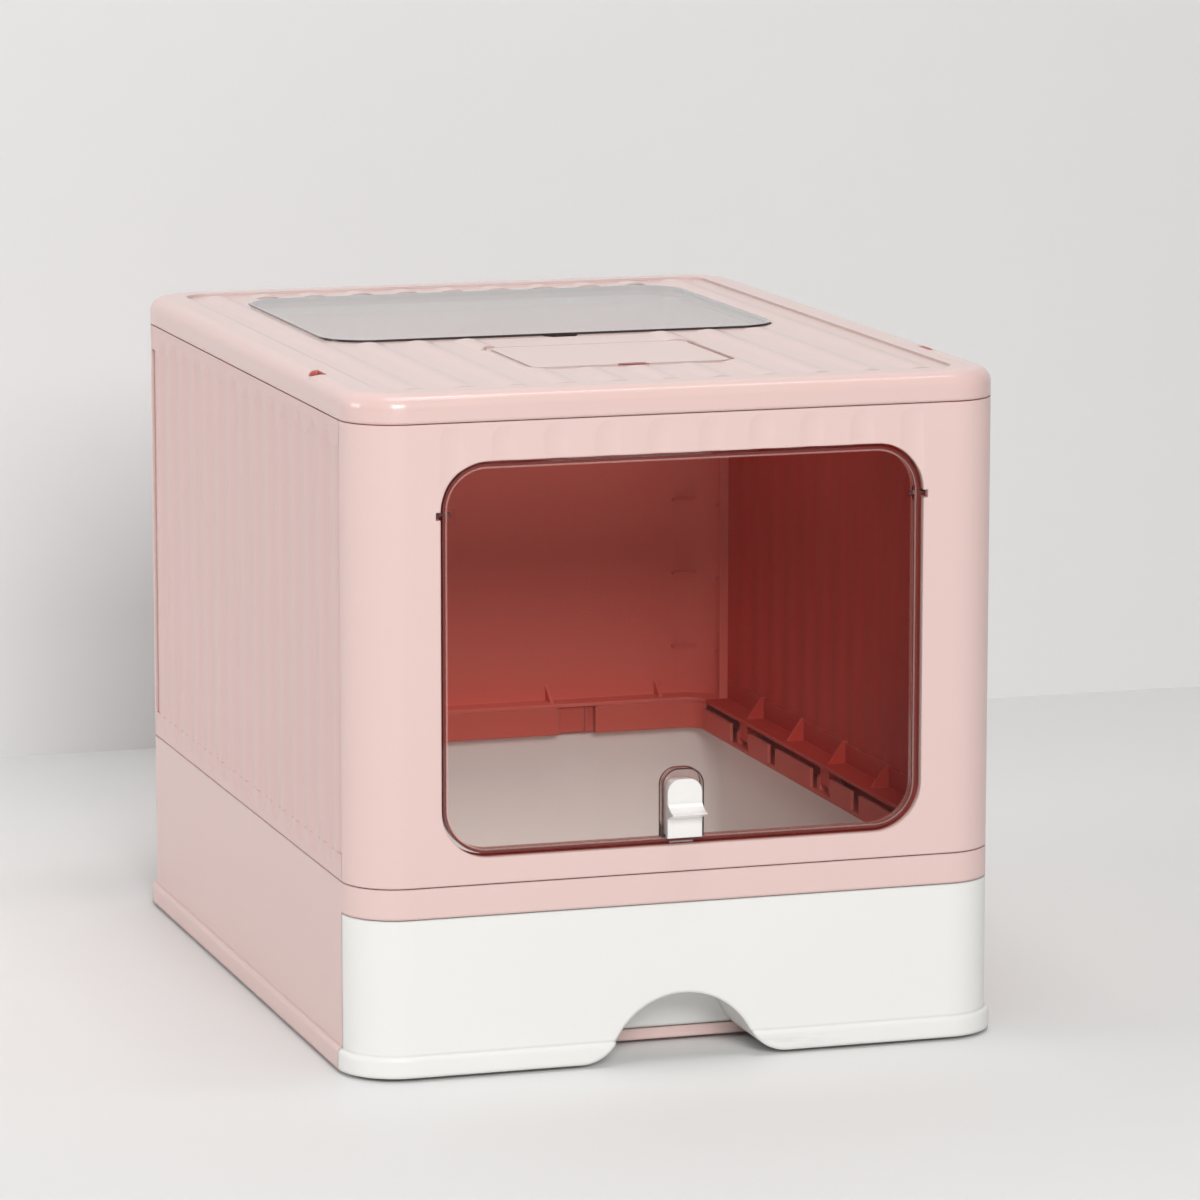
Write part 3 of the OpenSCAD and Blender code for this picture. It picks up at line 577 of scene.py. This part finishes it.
def makeLidRibs(r):
    tree, inputs = ribTree("ribRow", r)
    spans = [  # first rib, number of ribs, front end, back end
        (-5, 1, r["front"], r["back"]), (5, 1, r["front"], r["back"]),
        (-4, 2, r["front"], r["windowFront"]), (3, 2, r["front"], r["windowFront"]),
        (-4, 9, r["windowBack"], r["back"]),
        (-2, 5, r["front"], r["hatchFront"]),
    ]
    meshes = []
    for first, count, front, back in spans:
        front, back = front + middleY, back + middleY
        length = back - front
        meshes.append(grown("ribRow", tree, inputs, {
            "count": count, "pitch": r["pitch"], "width": r["width"], "length": length,
            "height": r["height"], "runOut": min(r["runOut"], length / r["shortest"]),
            "start": (first * r["pitch"], (front + back) / 2, r["baseZ"]), "finish": finishes["hatch"]}))
    piece = joined("lidRibs", meshes)
    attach(piece, "lid")


makeLidRibs(lidRibs)
print("lid ribs grown")


# ---- floor, wall and light ----

studio = {
    "floor": (0.80, 0.80, 0.80),
    "wall": (0.84, 0.845, 0.85),
    "wallY": 0.735,
    "halfWidth": 9,
    "wallTop": 7,
    "world": 0.06,
    "lampColour": (1.0, 0.99, 0.975),
    "lamps": [  # name, place, what it looks at, size, level on a white face turned to it
        ("keyLamp", (-0.40, -3.25, 1.80), (0.0, -0.2, 0.2), 1.2, 0.61),
        ("topLamp", (0.0, -0.6, 3.1), (0.0, 0.0, 0.2), 1.4, 0.31),
        ("edgeLamp", (0.83, -0.4, 3.1), (0.0, 0.0, 0.2), (0.26, 0.9), 0.07),
        ("sideLamp", (-3.0, 0.2, 1.2), (-0.2, 0.0, 0.2), 1.0, 0.24),
    ],
    # throws no shadow, so it reaches into the box
    "fill": ("fillLamp", (-0.5, -3.6, 0.9), (0.0, -0.2, 0.2), 1.4, 0.06),
}


def backdrop(name, corners, colour, oneSided):
    mesh = bpy.data.meshes.new(name)
    mesh.from_pydata(corners, [], [(0, 1, 2, 3)])
    mat = Finish(name)
    tone = mat.tone(colour, 0.985 + mat.noise(2.0) * 0.03)
    shader = mat.add("ShaderNodeBsdfPrincipled", values={
        "Base Color": tone, "Roughness": 0.6, "Specular IOR Level": 0.2})
    if oneSided:  # nothing from behind, so that the rear view isn't blocked
        behind = mat.add("ShaderNodeNewGeometry", out=6)
        clear = mat.add("ShaderNodeBsdfTransparent", values={"Color": (1, 1, 1)})
        shader = mat.add("ShaderNodeMixShader", values={0: behind, 1: shader, 2: clear})
    mesh.materials.append(mat.finish(shader))
    piece = bpy.data.objects.new(name, mesh)
    scene.collection.objects.link(piece)


def lamp(name, place, aim, size, level, shadow=True):
    away = Vector(place) - Vector(aim)
    data = bpy.data.lights.new(name, "AREA")
    data.shape = "RECTANGLE"
    data.size, data.size_y = size if isinstance(size, tuple) else (size, size)
    data.energy = level * (math.pi * away.length) ** 2
    data.color = studio["lampColour"]
    data.use_shadow = shadow
    piece = bpy.data.objects.new(name, data)
    piece.matrix_world = Matrix.Translation(place) @ away.to_track_quat("Z", "Y").to_matrix().to_4x4()
    scene.collection.objects.link(piece)


far, wallY, wallTop = studio["halfWidth"], studio["wallY"], studio["wallTop"]
floorCorners = [(-far, -far, 0), (far, -far, 0), (far, far, 0), (-far, far, 0)]
wallCorners = [(-far, wallY, 0), (far, wallY, 0), (far, wallY, wallTop), (-far, wallY, wallTop)]
backdrop("floor", floorCorners, studio["floor"], False)
backdrop("wall", wallCorners, studio["wall"], True)
for each in studio["lamps"]:
    lamp(*each)
lamp(*studio["fill"], shadow=False)

world = bpy.data.worlds.new("studioWorld")
world.use_nodes = True
sky = world.node_tree.nodes["Background"].inputs
sky["Color"].default_value = (1, 1, 1, 1)
sky["Strength"].default_value = studio["world"]
scene.world = world
scene.view_settings.view_transform = "Standard"
print("studio lit")

bpy.context.view_layer.update()
